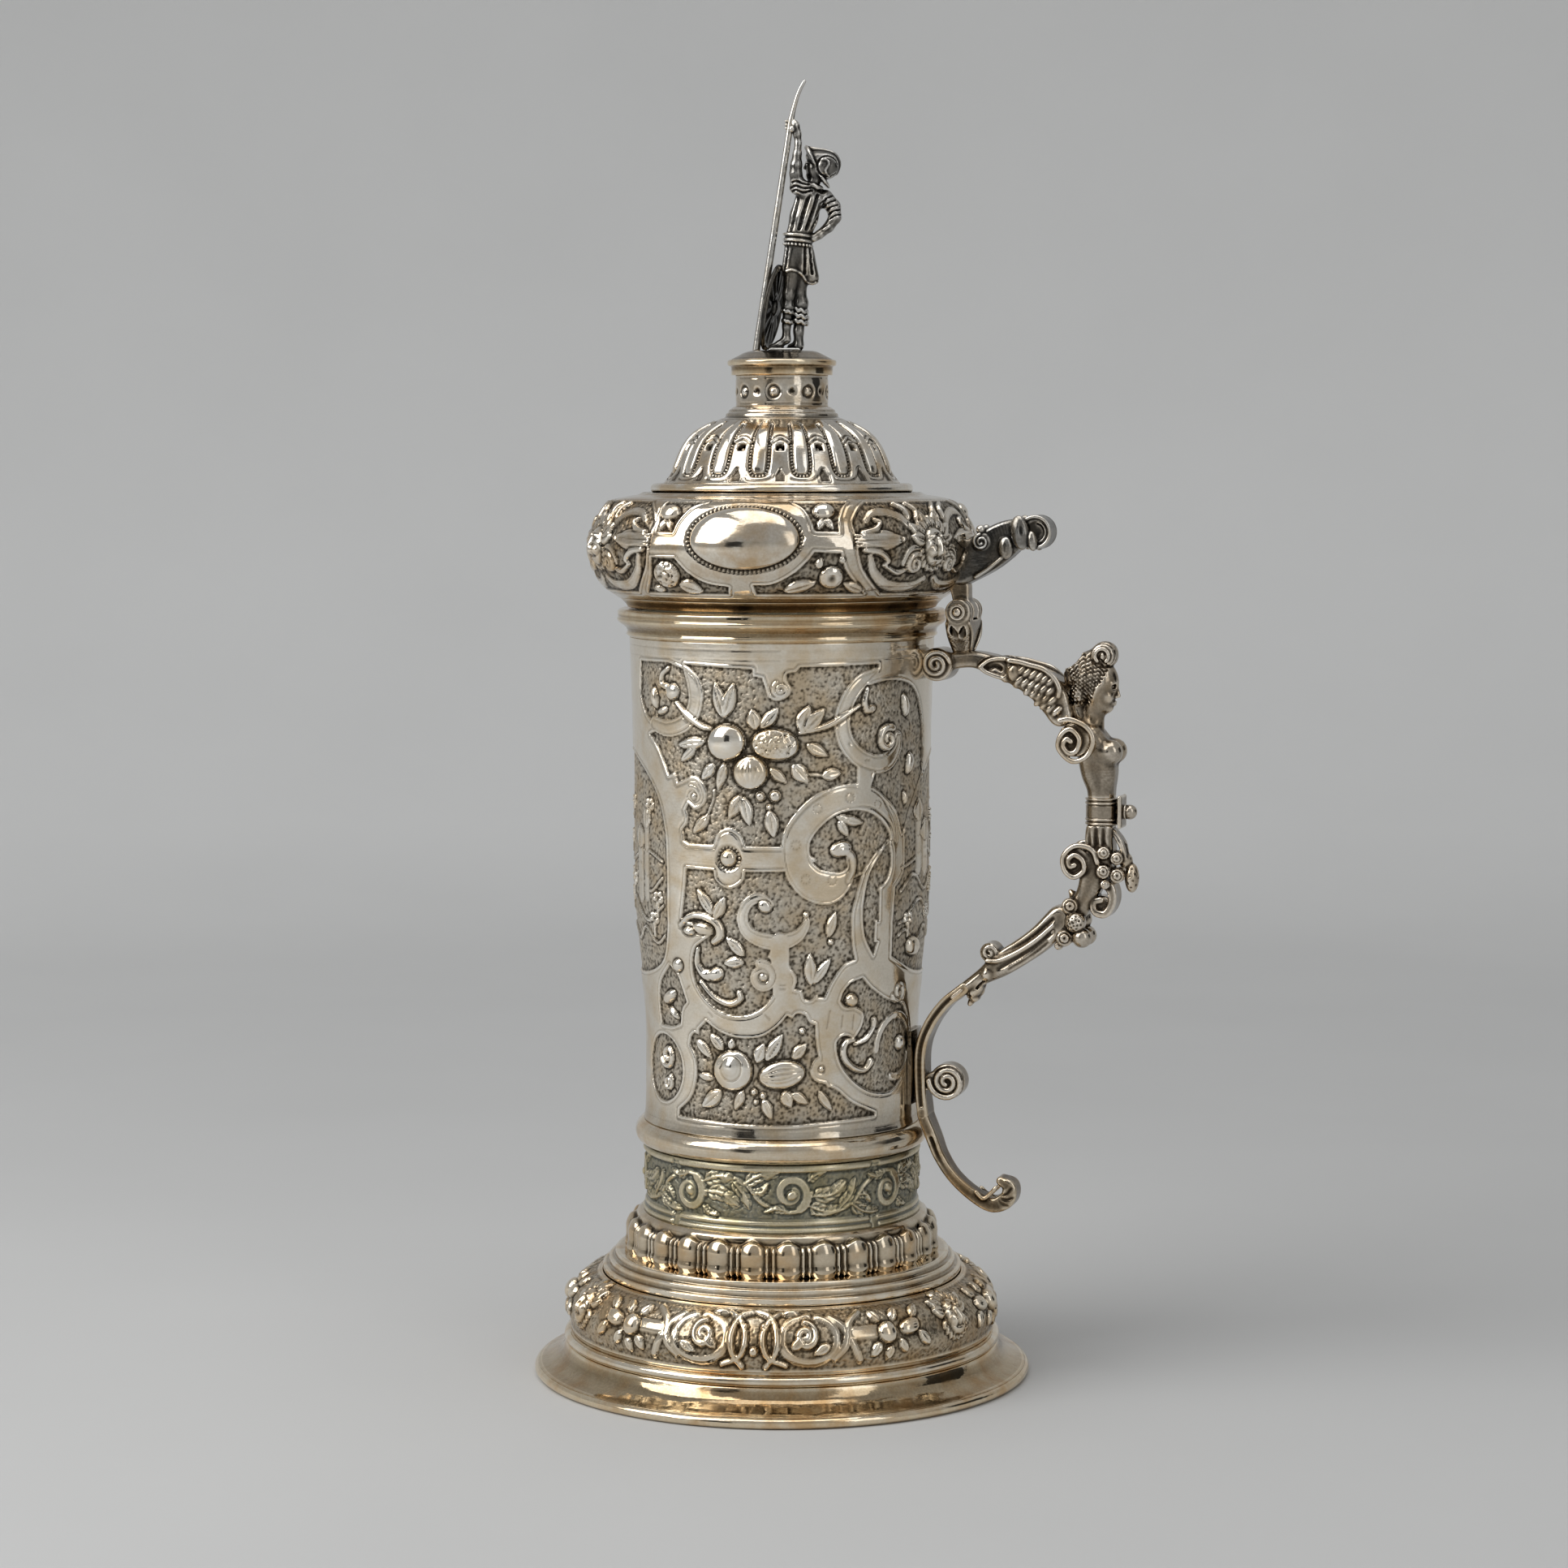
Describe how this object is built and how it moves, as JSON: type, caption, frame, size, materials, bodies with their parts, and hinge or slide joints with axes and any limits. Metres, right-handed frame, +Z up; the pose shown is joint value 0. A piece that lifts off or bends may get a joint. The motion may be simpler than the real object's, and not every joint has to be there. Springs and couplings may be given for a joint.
{
  "type": "lidded silver jug",
  "caption": "Tall lidded silver drinking jug with a hinged domed lid, a cast scroll handle with a bust, a spreading foot and a standing figure as finial.",
  "frame": {"origin": "centre of the foot, in the plane that it stands on", "axes": "+Z up along the axis of the drum, +X towards the handle, +Y along the hinge pin"},
  "size_m": [0.1739, 0.143, 0.3682],
  "materials": {
    "chased_silver": "chased and matted silver, tarnished in the hollows",
    "cast_silver": "cast silver, oxidised, bright on the edges",
    "finial_silver": "cast silver, heavily oxidised",
    "warm_silver": "plain silver with a warm brown tarnish",
    "dull_silver": "chased silver with a dull greenish grey tarnish"
  },
  "bodies": {
    "vessel": {"base_rim_wire": "chased_silver", "foot_flange": "warm_silver", "foot_bead_ring": "chased_silver", "foot_torus": "chased_silver", "foot_step_rings": "chased_silver", "gadroon_ring": "chased_silver", "frieze_band": "dull_silver", "waist_ring": "chased_silver", "body_drum": "chased_silver", "body_floor": "chased_silver", "lip_ring": "warm_silver", "handle_upper_arm": "cast_silver", "handle_bust": "cast_silver", "handle_belt": "cast_silver", "handle_belt_boss": "cast_silver", "handle_fruit_cluster": "cast_silver", "handle_lower_arm": "cast_silver", "handle_plate": "chased_silver", "handle_strap": "cast_silver", "handle_volute": "cast_silver", "handle_tail": "cast_silver", "hinge_post": "cast_silver", "hinge_pin": "chased_silver"},
    "lid": {"hinge_lid_leaf": "cast_silver", "lid_bezel": "chased_silver", "lid_seat_ring": "chased_silver", "lid_torus": "chased_silver", "lid_shoulder_ring": "chased_silver", "lid_dome": "chased_silver", "lid_neck_ring": "chased_silver", "lid_neck": "chased_silver", "lid_cap_ring": "warm_silver", "thumbpiece": "cast_silver", "finial_plate": "chased_silver", "finial_figure": "finial_silver", "finial_shield": "finial_silver", "finial_spear": "finial_silver", "finial_screw": "chased_silver", "finial_nut": "chased_silver"}
  },
  "joints": [
    {"name": "lid_hinge", "type": "hinge", "parent": "vessel", "child": "lid", "pos_m": [0.0534, 0, 0.2197], "axis": [0, 1, 0], "range_deg": [0, 66]}
  ]
}
